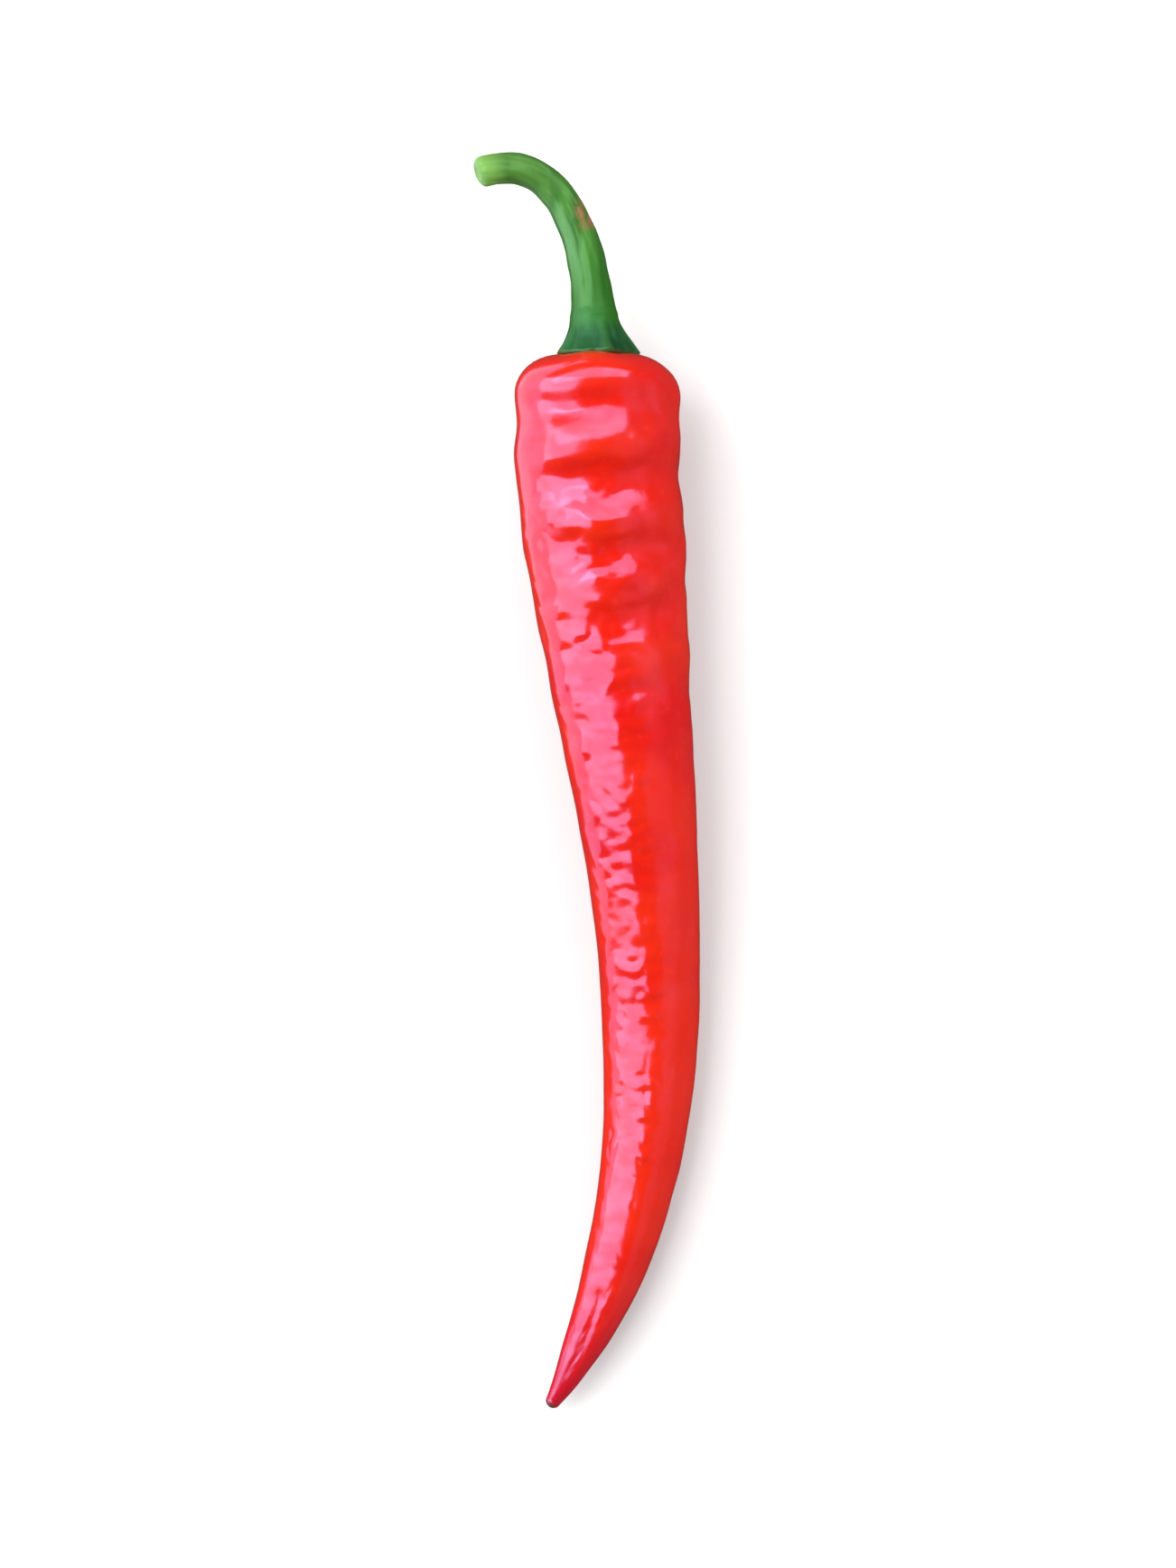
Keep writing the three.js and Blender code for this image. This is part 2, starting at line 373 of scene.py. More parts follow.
class MiddleLine:
    """A curved line, asked for the point and the direction at a distance from its start."""

    def __init__(self, points, distances=None):
        self.points = points
        self.distances = distances or self.lengths(points)
        last = len(points) - 1
        self.directions = [
            (points[min(i + 1, last)] - points[max(i - 1, 0)]).normalized() for i in range(len(points))
        ]
        self.length = self.distances[-1]

    @staticmethod
    def lengths(points):
        total = [0.0]
        for a, b in zip(points, points[1:]):
            total.append(total[-1] + (b - a).length)
        return total

    def at(self, distance):
        """Past either end the line runs straight on."""
        if distance <= 0:
            return self.points[0] + self.directions[0] * distance, self.directions[0]
        if distance >= self.length:
            beyond = distance - self.length
            return self.points[-1] + self.directions[-1] * beyond, self.directions[-1]
        i = bisect.bisect_right(self.distances, distance) - 1
        t = (distance - self.distances[i]) / (self.distances[i + 1] - self.distances[i])
        point = self.points[i].lerp(self.points[i + 1], t)
        return point, self.directions[i].lerp(self.directions[i + 1], t).normalized()


# %% Draw the middle line
def pod_plan():
    """The line seen from above: two Bezier curves that meet at the bow."""
    bow = Vector((BOW, -BOW_DISTANCE, 0))
    tip = Vector((BOW - TIP_SWEEP, -POD_SPAN, 0))
    tail = POD_SPAN - BOW_DISTANCE
    first = interpolate_bezier(
        Vector((0, 0, 0)),
        Vector((0, -BOW_DISTANCE * 0.4, 0)),
        Vector((BOW, -BOW_DISTANCE * 0.7, 0)),
        bow,
        PLAN_POINTS,
    )
    second = interpolate_bezier(
        bow,
        Vector((BOW, -BOW_DISTANCE - tail * 0.44, 0)),
        Vector((tip.x + TIP_SWEEP * 0.6, tip.y + tail * 0.24, 0)),
        tip,
        PLAN_POINTS,
    )
    return [Vector(point) for point in [*first, *second[1:]]]


plan = pod_plan()
plan_distances = MiddleLine.lengths(plan)
pod_length = plan_distances[-1]
outline = smooth_through([*POD_OUTLINE, (1 - TIP_RADIUS / pod_length, TIP_RADIUS / SHOULDER_RADIUS)])


def body_radius(along):
    """The pod's radius at a distance from the crown, without the rounding at its two ends."""
    return SHOULDER_RADIUS * outline(clamp(along, 0, pod_length - TIP_RADIUS) / pod_length)


for point, along in zip(plan, plan_distances):
    arch_share = clamp((along - ARCH_START) / ARCH_LENGTH)
    arch = ARCH_RISE * math.sin(math.pi * arch_share) ** 2
    tip_rise = TIP_RISE * smoothstep(along, pod_length - TIP_RISE_LENGTH, pod_length)
    point.z = body_radius(along) * (1 - SECTION_FLATTEN) - REST_PRESS + arch + tip_rise
pod_line = MiddleLine(plan, plan_distances)
print("pod length along its middle line", round(pod_length, 1), "mm")

# %% [markdown]
# ## The smooth pod
#
# The pod without its folds is a profile spun round a straight axis. The spin is dense, because the finest
# waves on the skin are about two millimetres long and every one of them needs several rings. Each point
# remembers how far along the pod it is and at which angle, as attributes of the mesh. The folds and the
# colours need both after the form is bent.

# %% Spin the pod and lay it down
POD_SIDES = 168
POD_RINGS = 500
CROWN_RINGS = 10
ROUND_RINGS = 10


def crown_depth(radius):
    """How far below the crown's top the skin is, at a radius from the axis."""
    if radius <= CROWN_RADIUS:
        return CROWN_DIP * (1 + math.cos(math.pi * radius / CROWN_RADIUS)) / 2
    share = (radius - CROWN_RADIUS) / (body_radius(SHOULDER_ROUND) - CROWN_RADIUS)
    return SHOULDER_ROUND * (1 - math.sqrt(1 - min(share, 1) ** 2))


def pod_profile():
    """From the tip to the middle of the crown. Y is the axis and X the radius."""
    points = []
    for i in range(ROUND_RINGS):
        turn = math.pi / 2 * i / ROUND_RINGS
        points.append((TIP_RADIUS * math.sin(turn), -pod_length + TIP_RADIUS * (1 - math.cos(turn)), 0))
    for i in range(POD_RINGS + 1):
        along = mix(pod_length - TIP_RADIUS, SHOULDER_ROUND, i / POD_RINGS)
        points.append((body_radius(along), -along, 0))
    shoulder = body_radius(SHOULDER_ROUND)
    for i in range(1, ROUND_RINGS + 1):
        turn = math.pi / 2 * i / ROUND_RINGS
        radius = mix(CROWN_RADIUS, shoulder, math.cos(turn))
        points.append((radius, -SHOULDER_ROUND * (1 - math.sin(turn)), 0))
    for i in range(1, CROWN_RINGS + 1):
        radius = CROWN_RADIUS * (1 - i / CROWN_RINGS)
        points.append((radius, -crown_depth(radius), 0))
    return points


def lay_along(bm, place):
    """Lays a form made round the Y axis along a line: place(height) gives a point and the way up the axis."""
    for vert in bm.verts:
        point, direction = place(vert.co.y)
        side = direction.cross(UP).normalized()
        over = side.cross(direction)
        vert.co = point + side * vert.co.x + over * vert.co.z


def on_pod(height):
    point, direction = pod_line.at(-height)
    return point, -direction


bm = bmesh.new()
spin_profile(bm, pod_profile(), (0, 1, 0), POD_SIDES)
along_layer = bm.verts.layers.float.new("along")
angle_layer = bm.verts.layers.float.new("angle")
for vert in bm.verts:
    radius = math.hypot(vert.co.x, vert.co.z)
    angle = math.atan2(vert.co.z, vert.co.x)
    along = -vert.co.y
    body = smoothstep(along, 0, SHOULDER_ROUND)
    flatten = 1 - SECTION_FLATTEN * body * math.sin(angle) ** 2
    lobes = 1 + LOBE_HEIGHT * body * math.cos(3 * angle + LOBE_TWIST * along)
    vert.co.x *= flatten * lobes
    vert.co.z *= flatten * lobes
    vert[along_layer] = along
    vert[angle_layer] = angle
lay_along(bm, on_pod)

low = Vector([min(vert.co[axis] for vert in bm.verts) for axis in range(3)])
high = Vector([max(vert.co[axis] for vert in bm.verts) for axis in range(3)])
cad_low, cad_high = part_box("pod")
place = (cad_low + cad_high) / 2 - (low + high) / 2 * MM
place.z = 0


def put_in_place(bm):
    """Turns millimetres from the crown into metres in the frame."""
    bmesh.ops.scale(bm, vec=(MM, MM, MM), verts=bm.verts)
    bmesh.ops.translate(bm, vec=place, verts=bm.verts)


print("smooth pod", [round(v, 2) for v in high - low], "mm")
print("CAD pod", [round(v / MM, 2) for v in cad_high - cad_low], "mm")

# %% [markdown]
# ## Folds and waves on the skin
#
# As a chilli ripens, the skin grows faster than the pod beneath it and goes into folds that run round it.
# They are widest and deepest at the shoulder, where the pod is fattest. Lower down only fine waves are
# left, and the tail is nearly smooth. A bump texture would show them in the shading only, and the outline
# would stay perfectly even, so they are moved into the mesh, each point along its normal.
#
# Three things add up. A few deep folds have places of their own. Swellings fill the skin between them: the
# absolute value of a noise that is stretched round the pod gives rounded bodies with narrow creases
# between. Ripples are the same noise as it is, for the softer ups and downs. The finest waves are kept to the
# band that the left lamp lights, where they break up the edge of its reflection.

# %% Move the folds into the mesh
# Each fold: distance from the crown, angle round the pod, depth, half length along the pod and half width
# round it. Lengths are millimetres. Angles are degrees: 90 is straight up and 180 the left side. A negative
# depth makes a hump.
FOLDS = [
    (7.6, 92, 0.95, 2.2, 72),
    (12.0, 74, -0.40, 2.4, 46),
    (16.4, 80, 1.10, 2.6, 62),
    (21.2, 66, -0.45, 2.2, 36),
    (25.3, 66, 0.95, 2.2, 40),
    (29.6, 58, -0.30, 2.2, 30),
    (34.0, 62, 0.90, 2.4, 36),
    (39.4, 60, -0.25, 2.2, 26),
    (43.6, 64, 0.40, 2.2, 30),
    (15.8, 4, 0.40, 2.2, 30),
    (23.0, 128, 0.25, 1.5, 20),
    (9.5, 205, 0.35, 1.9, 48),
    (26.0, 220, 0.30, 2.2, 44),
    (34.0, 330, 0.30, 2.4, 46),
    (47.0, 300, 0.24, 2.2, 44),
]

# Each kind of wave: height, pitch along the pod, how fast it changes round the pod, and the place in the
# noise that it is cut from.
SHOULDER_SWELLINGS = (0.55, 5.8, 1.6, 3.1)
BAND_SWELLINGS = (0.30, 2.6, 3.2, 17.3)
BAND_RIPPLES = (0.10, 1.3, 3.0, 0.0)
EDGE_RIPPLES = (0.14, 1.5, 3.4, 5.2)
UPPER_RIPPLES = (0.16, 2.4, 2.6, 12.9)
SHORT_WAVES = (0.30, 6.5, 1.1, 31.7)
LONG_WAVES = (0.35, 22, 0.7, 8.5)
CREASE_ROUND = 0.05
SWELLING_MEAN = 0.22
BAND_FADE = 0.19 / 0.30  # share of the band's swellings that is left below the shoulder
RIPPLE_FADE = 0.8  # and of its ripples

# Along the tail a low ridge runs down the top, and further on a shallow groove beside it.
RIDGE_HEIGHT = 0.15
GROOVE_DEPTH = 0.28
FOLD_RANGE = 1.2  # from the deepest creases to the highest humps, for the finish
PUCKER_DEPTH = 0.22  # of the furrows that run into the calyx, one for each sepal
SEPALS = 5


def turned(angle, degrees):
    """How far an angle is from a direction round the pod, in radians from -pi to pi."""
    return (angle - math.radians(degrees) + math.pi) % math.tau - math.pi


def hump(offset, width):
    """Goes smoothly from 1 at no offset to nearly 0 at twice the width."""
    return math.exp(-((offset / width) ** 2))


def fold_depth(along, angle):
    total = 0.0
    for distance, centre, depth, length, width in FOLDS:
        if abs(along - distance) < 3 * length:
            total -= depth * hump(along - distance, length) * hump(turned(angle, centre), math.radians(width))
    return total


def swelling(along, angle, wave):
    """Rounded swellings with creases between them, about one pitch apart along the pod."""
    height, pitch, change, seed = wave
    wobble = 0.35 * noise.noise(Vector((math.cos(angle), math.sin(angle), along / 9 + seed)))
    spot = Vector((change * math.cos(angle), change * math.sin(angle), along / pitch + wobble + seed))
    return height * (math.sqrt(noise.noise(spot) ** 2 + CREASE_ROUND**2) - SWELLING_MEAN)


def ripple(along, angle, wave):
    """Smooth ups and downs of about one pitch."""
    height, pitch, change, seed = wave
    spot = Vector((change * math.cos(angle), change * math.sin(angle), along / pitch + seed))
    return height * noise.noise(spot)


def skin_height(along, angle):
    """How far the skin stands out of the smooth pod, in millimetres."""
    # Where along the pod each wave shows.
    below_crown = smoothstep(along, 1.5, 7)
    shoulder = 1 - smoothstep(along, 30, 70)
    fine = smoothstep(along, 4, 22) * (1 - 0.6 * smoothstep(along, 96, 116))
    down_pod = smoothstep(along, 20, 50)
    tip_fade = 1 - smoothstep(along, pod_length - 8, pod_length - 2)

    # And where round it: the upper half, the band that the left lamp lights, and that band's right edge.
    upper = smoothstep(math.cos(turned(angle, 75)), -0.3, 0.7)
    band = smoothstep(math.cos(turned(angle, 112)), 0.35, 0.95) * fine
    edge = hump(turned(angle, 86), 0.4) * fine

    height = fold_depth(along, angle) * below_crown
    height += upper * shoulder * below_crown * swelling(along, angle, SHOULDER_SWELLINGS)
    height += mix(1, BAND_FADE, down_pod) * band * swelling(along, angle, BAND_SWELLINGS)
    height += mix(1, RIPPLE_FADE, down_pod) * band * ripple(along, angle, BAND_RIPPLES)
    height += edge * ripple(along, angle, EDGE_RIPPLES)
    height += mix(0.4, 1, shoulder) * upper * below_crown * ripple(along, angle, UPPER_RIPPLES)
    height += mix(0.3, 1, shoulder) * below_crown * ripple(along, angle, SHORT_WAVES)
    height += below_crown * ripple(along, angle, LONG_WAVES)

    ridge = smoothstep(along, 60, 80) * (1 - smoothstep(along, 116, 128)) * hump(turned(angle, 74), 0.34)
    groove = smoothstep(along, 114, 122) * hump(turned(angle, 98), 0.33)
    return (height + RIDGE_HEIGHT * ridge - GROOVE_DEPTH * groove) * tip_fade


def crown_pucker(radius, angle):
    """Shallow furrows that run into the calyx."""
    near = smoothstep(radius, 3, 6) * (1 - smoothstep(radius, 8.5, 10.5))
    return -PUCKER_DEPTH * near * (0.5 + 0.5 * math.cos(SEPALS * angle + 0.8 + 0.5 * math.sin(angle)))


bm.normal_update()
hollow_layer = bm.verts.layers.float.new("hollow")
moves = []
for vert in bm.verts:
    along, angle = vert[along_layer], vert[angle_layer]
    height = skin_height(along, angle)
    if along < SHOULDER_ROUND:
        point, direction = pod_line.at(along)
        height += crown_pucker((vert.co - point).cross(direction).length, angle)
    moves.append(height)
    vert[hollow_layer] = clamp(0.5 - height / FOLD_RANGE)
for vert, height in zip(bm.verts, moves):
    vert.co += vert.normal * height
put_in_place(bm)
for vert in bm.verts:
    vert.co.z = max(vert.co.z, 0)
    vert[along_layer] /= pod_length
pod = object_from(bm, "pod_skin")
print("pod", len(pod.data.polygons), "faces")
print("folds from", round(min(moves), 2), "to", round(max(moves), 2), "mm")

# %% [markdown]
# ## The stalk's line
#
# Calyx and stem share one middle line. It leaves the crown straight and bends over into a hook. The stem's
# width along it is needed for both, because the calyx's upper end has to hug the stem.

# %% The stalk's line and width
CALYX_HEIGHT = 4.8
NECK_RADIUS = 3.05  # where the stem grows out of the calyx
NECK_FADE = 2.6  # distance in which the neck's extra thickness falls to about a third
STEM_RADIUS = 2.55  # just past the neck
HOOK_RADIUS = 1.88  # where it is thinnest
STEM_END_RADIUS = 2
STEM_END_LENGTH = 5
STEM_END_ROUND = 1
STEM_REACH = 23  # how far the hook's end is from the crown, along Y
STEM_RUN = 16.2  # how strongly it sets out straight before it bends
HOOK_REACH = 15  # sideways, towards -X
HOOK_RISE = 2.4
HOOK_TURN = 10.7  # how strongly its end turns back
HOOK_ANGLE = math.radians(21)  # of the end, back from the X axis
HOOK_LIFT = math.radians(16)  # of the end, up from the level
SEAT_GAP = 0.3  # between calyx and stem in the CAD model
STALK_POINTS = 240

crown = pod_line.at(0)[0]
out_of_crown = -pod_line.at(0)[1]
hook_end = crown + Vector((-HOOK_REACH, STEM_REACH, HOOK_RISE))
back_from_end = Vector((math.cos(HOOK_ANGLE), math.sin(HOOK_ANGLE), -math.tan(HOOK_LIFT)))
stalk = MiddleLine(
    interpolate_bezier(
        crown,
        crown + out_of_crown * STEM_RUN,
        hook_end + back_from_end * HOOK_TURN,
        hook_end,
        STALK_POINTS,
    )
)
stem_start = CALYX_HEIGHT + SEAT_GAP


def stem_width(along):
    share = clamp((along - stem_start) / (stalk.length - STEM_END_ROUND - stem_start))
    neck = (NECK_RADIUS - STEM_RADIUS) * math.exp(-max(along - stem_start, 0) / NECK_FADE)
    swell = smoothstep(along, stalk.length - STEM_END_LENGTH, stalk.length - STEM_END_ROUND)
    return mix(STEM_RADIUS, HOOK_RADIUS, share) + neck + (STEM_END_RADIUS - HOOK_RADIUS) * swell


print("stalk", round(stalk.length, 1), "mm long")

# %% [markdown]
# ## The calyx
#
# The calyx is five sepals grown together into a shallow cap. On a ripe chilli it sits tight on the crown, and
# it narrows upwards into the stem. It is spun from a profile with an underside, so that it is a closed body.
# Then its rim is drawn out into five points and each sepal gets a rib. The rim follows the crown wherever
# the points reach. A collar carries the calyx on up the stem and sinks into it slowly, so that no ring shows
# where the two organs meet.

# %% Spin the calyx
CALYX_RADIUS = 5
CALYX_RIM = 0.45  # thickness of its edge
CALYX_FLARE = 1.7  # power of the outline between neck and rim: 1 is a plain cone
CALYX_SINK = 0.12  # how deep it is pressed into the crown
EDGE_BULGE = 0.12
COLLAR_LENGTH = 3.2
COLLAR_PROUD = 0.05  # how far its lower end stands out of the stem
COLLAR_SUNK = 0.12  # how deep its upper end is in the stem
SEPAL_POINT = 0.7
SEPAL_RIB = 0.16
CALYX_VEIN = 0.05
CALYX_SIDES = 160
UNDER_RINGS = 12
EDGE_RINGS = 5
CAP_RINGS = 30
COLLAR_RINGS = 12


def calyx_profile():
    """From the middle of the underside, round the rim and up to the collar's top."""
    points = []
    for i in range(UNDER_RINGS + 1):
        radius = CALYX_RADIUS * i / UNDER_RINGS
        points.append((radius, -crown_depth(radius) - CALYX_SINK, 0))
    edge_low = -crown_depth(CALYX_RADIUS) - CALYX_SINK
    edge_high = edge_low + CALYX_RIM + CALYX_SINK
    for i in range(1, EDGE_RINGS):
        turn = math.pi / 2 * i / EDGE_RINGS
        radius = CALYX_RADIUS + EDGE_BULGE * math.sin(2 * turn)
        points.append((radius, mix(edge_low, edge_high, math.sin(turn)), 0))
    for i in range(CAP_RINGS + 1):
        share = i / CAP_RINGS
        radius = NECK_RADIUS + (CALYX_RADIUS - NECK_RADIUS) * (1 - share) ** CALYX_FLARE
        points.append((radius + COLLAR_PROUD * share, mix(edge_high, stem_start, share), 0))
    for i in range(1, COLLAR_RINGS + 1):
        share = i / COLLAR_RINGS
        height = stem_start + COLLAR_LENGTH * share
        points.append((stem_width(height) + mix(COLLAR_PROUD, -COLLAR_SUNK, share), height, 0))
    points.append((0, stem_start + COLLAR_LENGTH, 0))
    return points


bm = bmesh.new()
spin_profile(bm, calyx_profile(), (0, 1, 0), CALYX_SIDES)
height_layer = bm.verts.layers.float.new("height")
rib_layer = bm.verts.layers.float.new("rib")
for vert in bm.verts:
    radius = math.hypot(vert.co.x, vert.co.z)
    angle = math.atan2(vert.co.z, vert.co.x)
    height = vert.co.y
    wave = math.cos(SEPALS * angle)
    point = max(0.0, wave) ** 1.5 - 0.35
    near_rim = smoothstep(radius, NECK_RADIUS, CALYX_RADIUS)
    uneven = noise.noise(Vector((2.2 * math.cos(angle), 2.2 * math.sin(angle), height / 3)))
    moved = radius + (SEPAL_POINT * point + 0.25 * uneven) * near_rim
    vert.co.y += crown_depth(radius) - crown_depth(moved)
    outside = smoothstep(height, 0.0, CALYX_RIM)
    shape = SEPAL_RIB * max(0.0, wave) ** 3 + CALYX_VEIN * math.cos(3 * SEPALS * angle + 2 * uneven)
    below_neck = smoothstep(height, CALYX_HEIGHT, CALYX_HEIGHT * 0.5) * smoothstep(radius, 0.5, 2.5)
    moved += shape * outside * below_neck
    vert.co.y += 0.12 * outside * near_rim * noise.noise(Vector((3 * angle, height, 4.4)))
    if radius > 1e-6:
        vert.co.x *= moved / radius
        vert.co.z *= moved / radius
    vert[height_layer] = clamp(height / CALYX_HEIGHT)
    vert[rib_layer] = clamp(0.5 + 0.5 * wave)
lay_along(bm, stalk.at)
put_in_place(bm)
calyx = object_from(bm, "calyx_cap")
print("calyx", len(calyx.data.polygons), "faces")

# %% [markdown]
# ## The stem
#
# The stem is a green stalk with soft ridges that run on from the sepals. It is thickest where it leaves the
# calyx and thinnest at the hook, and it swells again where it broke off the plant. It could be a curve
# with a bevel, but a curve can't have ridges that fade. So it is spun straight, like the pod, ridged
# there, and laid along its own line. Its foot goes a little way into the calyx, so that no gap shows.

# %% Spin the stem
STEM_FOOT = 0.8  # how deep its narrow foot goes into the calyx
STEM_SINK = 0.35  # how deep its full width does
STEM_RIDGE = 0.08  # one for each sepal
STEM_FIBRE = 0.03
STEM_LUMP = 0.16
STEM_ROUGHNESS = 0.05
END_HOLLOW = 0.22  # depth of the cup in the broken end
STEM_SIDES = 120
STEM_RINGS = 240
END_RINGS = 8
FACE_RINGS = 6


def stem_profile():
    """From the foot inside the calyx to the middle of the broken end."""
    points = [(0, stem_start - STEM_FOOT, 0), (NECK_RADIUS * 0.8, stem_start - STEM_FOOT, 0)]
    end = stalk.length - STEM_END_ROUND
    for i in range(STEM_RINGS + 1):
        along = mix(stem_start - STEM_SINK, end, i / STEM_RINGS)
        points.append((stem_width(along), along, 0))
    width = stem_width(end)
    for i in range(1, END_RINGS + 1):
        turn = math.pi / 2 * i / END_RINGS
        radius = width - STEM_END_ROUND * (1 - math.cos(turn))
        points.append((radius, end + STEM_END_ROUND * math.sin(turn), 0))
    face = width - STEM_END_ROUND
    for i in range(1, FACE_RINGS + 1):
        share = 1 - i / FACE_RINGS
        points.append((face * share, stalk.length - END_HOLLOW * (1 - share**2), 0))
    return points


bm = bmesh.new()
spin_profile(bm, stem_profile(), (0, 1, 0), STEM_SIDES)
along_layer = bm.verts.layers.float.new("along")
angle_layer = bm.verts.layers.float.new("angle")
for vert in bm.verts:
    radius = math.hypot(vert.co.x, vert.co.z)
    angle = math.atan2(vert.co.z, vert.co.x)
    along = vert.co.y
    share = clamp((along - stem_start) / (stalk.length - stem_start))
    twist = angle + 0.5 * share
    ridges = STEM_RIDGE * math.cos(SEPALS * twist) * (1 - 0.55 * share)
    ridges += STEM_FIBRE * math.cos(11 * twist + 1)
    lumps = noise.noise(Vector((1.3 * math.cos(angle), 1.3 * math.sin(angle), along / 3.1)))
    fine = noise.noise(Vector((5 * math.cos(angle), 5 * math.sin(angle), along / 2.2)))
    free = smoothstep(radius, 0.3, 1.2) * smoothstep(along, stem_start, stem_start + 4)
    moved = radius + (ridges + STEM_LUMP * lumps + STEM_ROUGHNESS * fine) * free
    if radius > 1e-6:
        vert.co.x *= moved / radius
        vert.co.z *= moved / radius
    vert[along_layer] = share
    vert[angle_layer] = angle
lay_along(bm, stalk.at)
put_in_place(bm)
stem = object_from(bm, "stem_stalk")
print("stem", len(stem.data.polygons), "faces; length along its line", round(stalk.length, 1), "mm")

# %% [markdown]
# ## Finishes
#
# Every finish is a node tree that reads the object's own coordinates or the attributes saved above, so the
# pattern belongs to the piece from whichever side it is seen. These helpers keep the trees short.

# %% Helpers for node trees
class Finish:
    """A material with one Principled shader, and short ways to add nodes to it."""

    def __init__(self, name, **constants):
        self.material = bpy.data.materials.new(name)
        self.material.use_nodes = True
        self.tree = self.material.node_tree
        self.shader = self.tree.nodes["Principled BSDF"]
        for socket, value in constants.items():
            self.shader.inputs[socket.replace("_", " ")].default_value = value
        self.place = self.tree.nodes.new("ShaderNodeTexCoord").outputs["Object"]

    def link(self, output, socket):
        self.tree.links.new(output, socket)

    def set(self, socket, value):
        if isinstance(value, bpy.types.NodeSocket):
            self.link(value, socket)
        elif socket.type == "RGBA" and len(value) == 3:
            socket.default_value = (*value, 1)
        else:
            socket.default_value = value

    def attribute(self, name):
        node = self.tree.nodes.new("ShaderNodeAttribute")
        node.attribute_name = name
        return node.outputs["Fac"]

    def noise(self, scale, detail=3.0, stretch=(1, 1, 1), rough=0.5, shift=0.0):
        mapping = self.tree.nodes.new("ShaderNodeMapping")
        mapping.inputs["Scale"].default_value = stretch
        mapping.inputs["Location"].default_value = (shift, shift, shift)
        self.link(self.place, mapping.inputs["Vector"])
        node = self.tree.nodes.new("ShaderNodeTexNoise")
        node.inputs["Scale"].default_value = scale
        node.inputs["Detail"].default_value = detail
        node.inputs["Roughness"].default_value = rough
        self.link(mapping.outputs["Vector"], node.inputs["Vector"])
        return node.outputs["Fac"]

    def times(self, a, b):
        node = self.tree.nodes.new("ShaderNodeMath")
        node.operation = "MULTIPLY"
        self.set(node.inputs[0], a)
        self.set(node.inputs[1], b)
        return node.outputs[0]

    def span(self, value, low, high, to_low=0.0, to_high=1.0):
        """Maps low..high smoothly to to_low..to_high."""
        node = self.tree.nodes.new("ShaderNodeMapRange")
        node.interpolation_type = "SMOOTHSTEP"
        for name, setting in zip(("From Min", "From Max", "To Min", "To Max"), (low, high, to_low, to_high)):
            node.inputs[name].default_value = setting
        self.link(value, node.inputs["Value"])
        return node.outputs["Result"]

    def blend(self, share, a, b):
        """Goes from colour a to colour b as the share goes from 0 to 1."""
        node = self.tree.nodes.new("ShaderNodeMix")
        node.data_type = "RGBA"
        self.set(node.inputs["Factor"], share)
        self.set(node.inputs[6], a)
        self.set(node.inputs[7], b)
        return node.outputs[2]

    def bump(self, height, strength, distance):
        node = self.tree.nodes.new("ShaderNodeBump")
        node.inputs["Strength"].default_value = strength
        node.inputs["Distance"].default_value = distance
        self.link(height, node.inputs["Height"])
        return node.outputs["Normal"]

    def complete(self, colour, roughness, normal):
        """Plugs the three into the shader and hands over the material."""
        self.link(colour, self.shader.inputs["Base Color"])
        self.link(roughness, self.shader.inputs["Roughness"])
        self.link(normal, self.shader.inputs["Normal"])
        return self.material


# %% [markdown]
# ## The pod's finish
#
# Ripe skin is a clear wax over red flesh. The red is not even: patches lean to orange, creases have a purer
# red, and towards the tip it cools and deepens. The dried remnant of the flower is a brown point at the
# very end. The wax gives a clean gloss, tinted so that white light comes back a little pink. It is duller
# where it has been rubbed, and it shines less in small spots where it is thin.

# %% The pod's finish
RED = (0.42, 0.0045, 0.002)
ORANGE_RED = (0.47, 0.013, 0.002)
CREASE_RED = (0.45, 0.008, 0.0015)
FLECK_RED = (0.55, 0.030, 0.015)
TAIL_RED = (0.33, 0.0045, 0.015)
REMNANT_BROWN = (0.09, 0.03, 0.015)

skin = Finish("chilli skin", IOR=1.55, Specular_Tint=(0.38, 0.50, 1.0, 1))
along = skin.attribute("along")
hollow = skin.attribute("hollow")
patches = skin.noise(70, 3)
flecks = skin.noise(900, 2, rough=0.6)
red = skin.blend(skin.span(patches, 0.35, 0.65), RED, ORANGE_RED)
red = skin.blend(skin.span(hollow, 0.5, 0.85), red, CREASE_RED)
red = skin.blend(skin.span(flecks, 0.56, 0.72, 0.0, 0.16), red, FLECK_RED)
red = skin.blend(skin.span(along, 0.86, 0.99, 0.0, 0.75), red, TAIL_RED)
red = skin.blend(skin.span(along, 0.992, 0.999), red, REMNANT_BROWN)
rubbed = skin.noise(160, 4, shift=0.3)
gloss = skin.span(rubbed, 0.38, 0.72, 0.15, 0.24)
wax = skin.noise(520, 3, stretch=(0.6, 1, 0.6), shift=5.1)
shine = skin.span(wax, 0.38, 0.64, 0.68, 1.0)
skin.link(shine, skin.shader.inputs["Specular IOR Level"])
pores = skin.noise(1500, 2)
pod.data.materials.append(skin.complete(red, gloss, skin.bump(pores, 0.12, 0.0001)))
print("pod finish:", len(skin.tree.nodes), "nodes")

# %% [markdown]
# ## The calyx's finish
#
# The calyx is the darkest green, with a paler rib down each sepal and a thin brownish edge where it has
# begun to dry. It is satin and not glossy like the pod. Towards its top it turns into the green of the
# stem's foot, so that the two organs look grown together.

# %% The calyx's finish
CALYX_DARK = (0.0045, 0.034, 0.010)
CALYX_GREEN = (0.010, 0.060, 0.016)
RIB_GREEN = (0.030, 0.125, 0.030)
FOOT_GREEN = (0.014, 0.081, 0.006)
DRY_BROWN = (0.070, 0.058, 0.016)

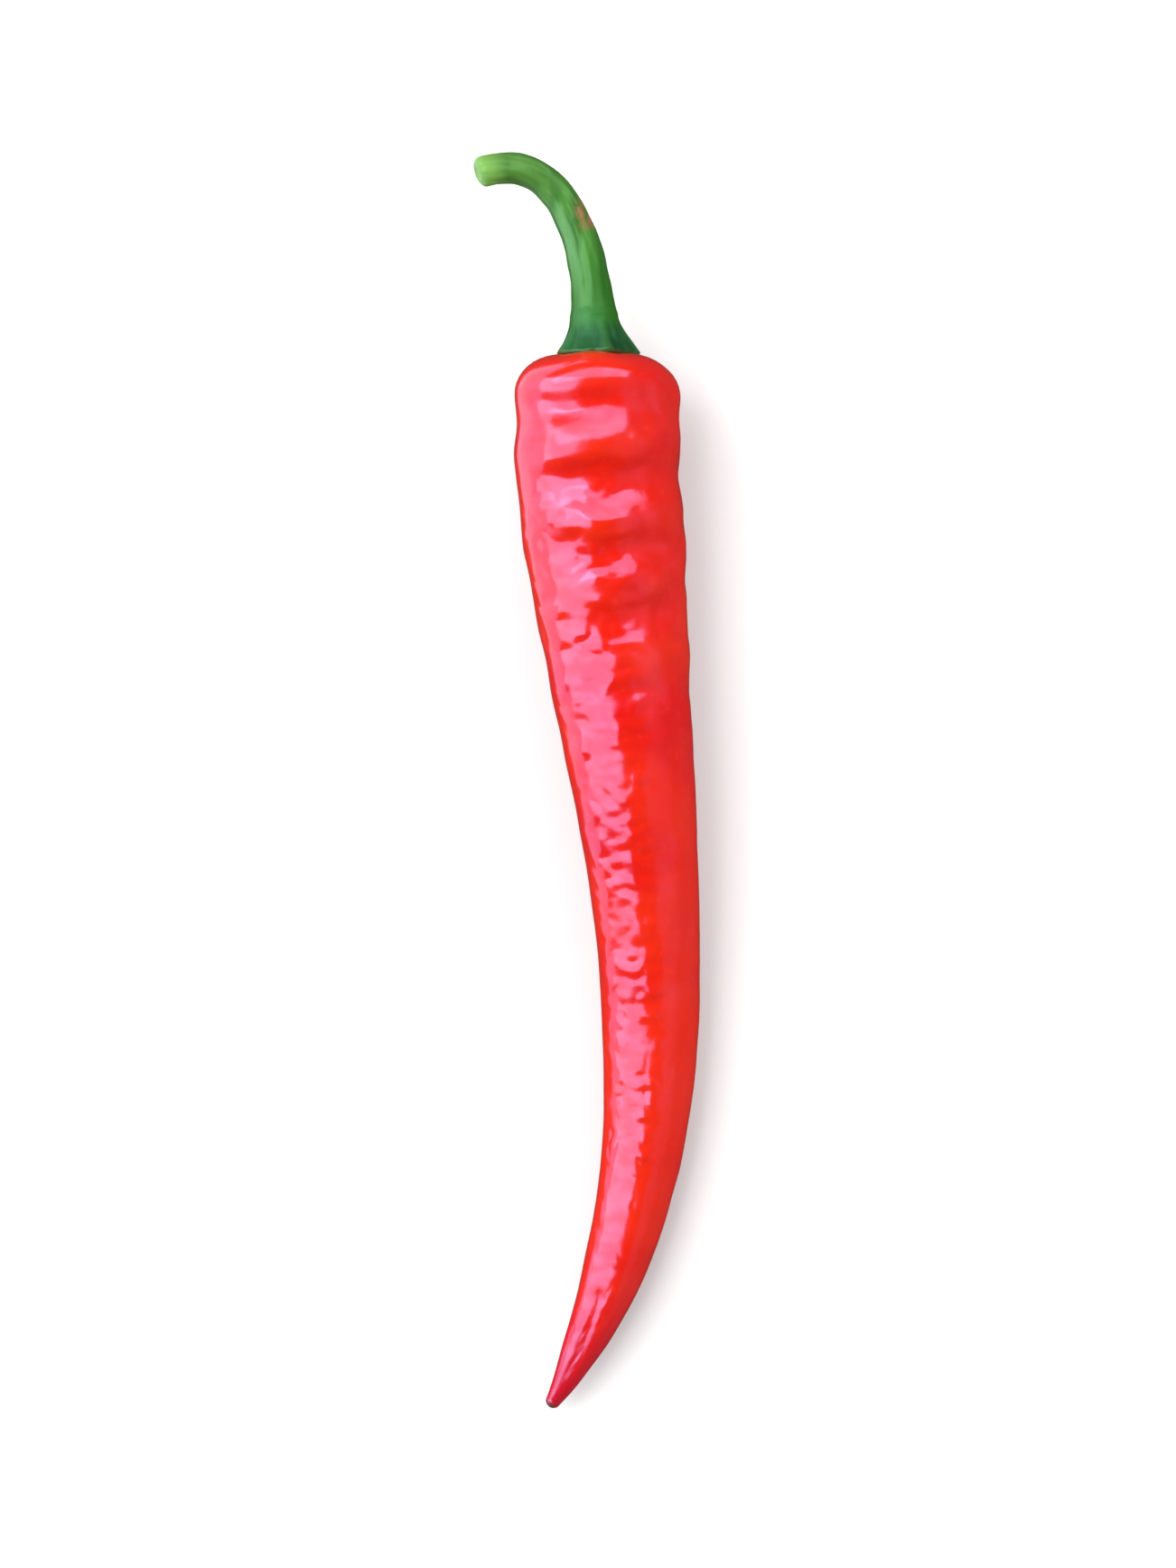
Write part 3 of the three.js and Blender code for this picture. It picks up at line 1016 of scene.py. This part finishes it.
leaf = Finish("calyx green", Specular_IOR_Level=0.35, Specular_Tint=(0.4, 1.0, 0.65, 1))
height = leaf.attribute("height")
rib = leaf.attribute("rib")
mottle = leaf.noise(260, 4)
green = leaf.blend(leaf.span(mottle, 0.35, 0.65), CALYX_DARK, CALYX_GREEN)
green = leaf.blend(leaf.span(rib, 0.7, 1.0, 0.0, 0.4), green, RIB_GREEN)
green = leaf.blend(leaf.span(height, 0.45, 1.0), green, FOOT_GREEN)
green = leaf.blend(leaf.span(height, 0.10, 0.0, 0.0, 0.55), green, DRY_BROWN)
satin = leaf.span(leaf.noise(400, 3, shift=0.7), 0.3, 0.7, 0.3, 0.45)
grain = leaf.bump(leaf.noise(1100, 3), 0.3, 0.0001)
calyx.data.materials.append(leaf.complete(green, satin, grain))
print("calyx finish:", len(leaf.tree.nodes), "nodes")

# %% [markdown]
# ## The stem's finish
#
# The stem runs from the green of its foot to a fresher one at the hook, with pale streaks along it and
# darker blotches. Its left side is painted paler: a painted highlight. A brown scar marks its right side
# about half way up, where it rubbed against a leaf. The end where it came off the plant is pale and
# yellowish.

# %% The stem's finish
STEM_DARK = (0.016, 0.080, 0.008)
STEM_GREEN = (0.034, 0.128, 0.015)
HOOK_GREEN = (0.058, 0.148, 0.028)
BLOTCH_GREEN = (0.013, 0.066, 0.007)
END_GREEN = (0.116, 0.25, 0.047)
PAINTED_HIGHLIGHT_GREEN = (0.085, 0.210, 0.085)
SCAR_BROWN = (0.17, 0.078, 0.034)

bark = Finish("stem green", Specular_IOR_Level=0.45, Specular_Tint=(0.5, 1.0, 0.5, 1))
along = bark.attribute("along")
angle = bark.attribute("angle")
streaks = bark.noise(420, 3, stretch=(1, 0.16, 1))
blotches = bark.noise(240, 3, shift=1.7)
green = bark.blend(bark.span(streaks, 0.35, 0.7), STEM_DARK, STEM_GREEN)
green = bark.blend(bark.span(along, 0.45, 0.8, 0.0, 0.6), green, HOOK_GREEN)
green = bark.blend(bark.span(blotches, 0.5, 0.75, 0.0, 0.5), green, BLOTCH_GREEN)
green = bark.blend(bark.span(along, 0.36, 0.09), green, FOOT_GREEN)
green = bark.blend(bark.times(bark.span(along, 0.86, 0.97), 0.85), green, END_GREEN)

# Painted highlight: the lower part of the stem's left side, which faces the left lamp, is painted a paler
# green.
left_side = bark.times(bark.span(angle, 1.5, 2.2), bark.span(angle, 3.1, 2.6))
painted_highlight = bark.times(left_side, bark.span(along, 0.75, 0.35, 0.0, 0.45))
painted_highlight = bark.times(painted_highlight, bark.span(along, 0.1, 0.3))
green = bark.blend(painted_highlight, green, PAINTED_HIGHLIGHT_GREEN)

right_side = bark.times(bark.span(angle, -0.5, 0.2), bark.span(angle, 1.7, 0.9))
half_way = bark.times(bark.span(along, 0.36, 0.42), bark.span(along, 0.54, 0.46))
ragged = bark.span(bark.noise(700, 4, shift=2.9), 0.35, 0.55)
scar = bark.times(bark.times(half_way, right_side), ragged)
green = bark.blend(scar, green, SCAR_BROWN)

satin = bark.span(blotches, 0.3, 0.7, 0.3, 0.45)
grain = bark.bump(bark.noise(900, 3, stretch=(1, 0.2, 1)), 0.35, 0.0002)
stem.data.materials.append(bark.complete(green, satin, grain))
print("stem finish:", len(bark.tree.nodes), "nodes")

# %% [markdown]
# ## Join the frame
#
# Each dressed piece rides on the model's one body and stands for the CAD node of the same organ, which is
# hidden.

# %% Join the frame
for piece, node, material_slot in ((pod, "pod", "skin"), (calyx, "calyx", "calyx"), (stem, "stem", "stem")):
    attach(piece, "root")
    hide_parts(node)
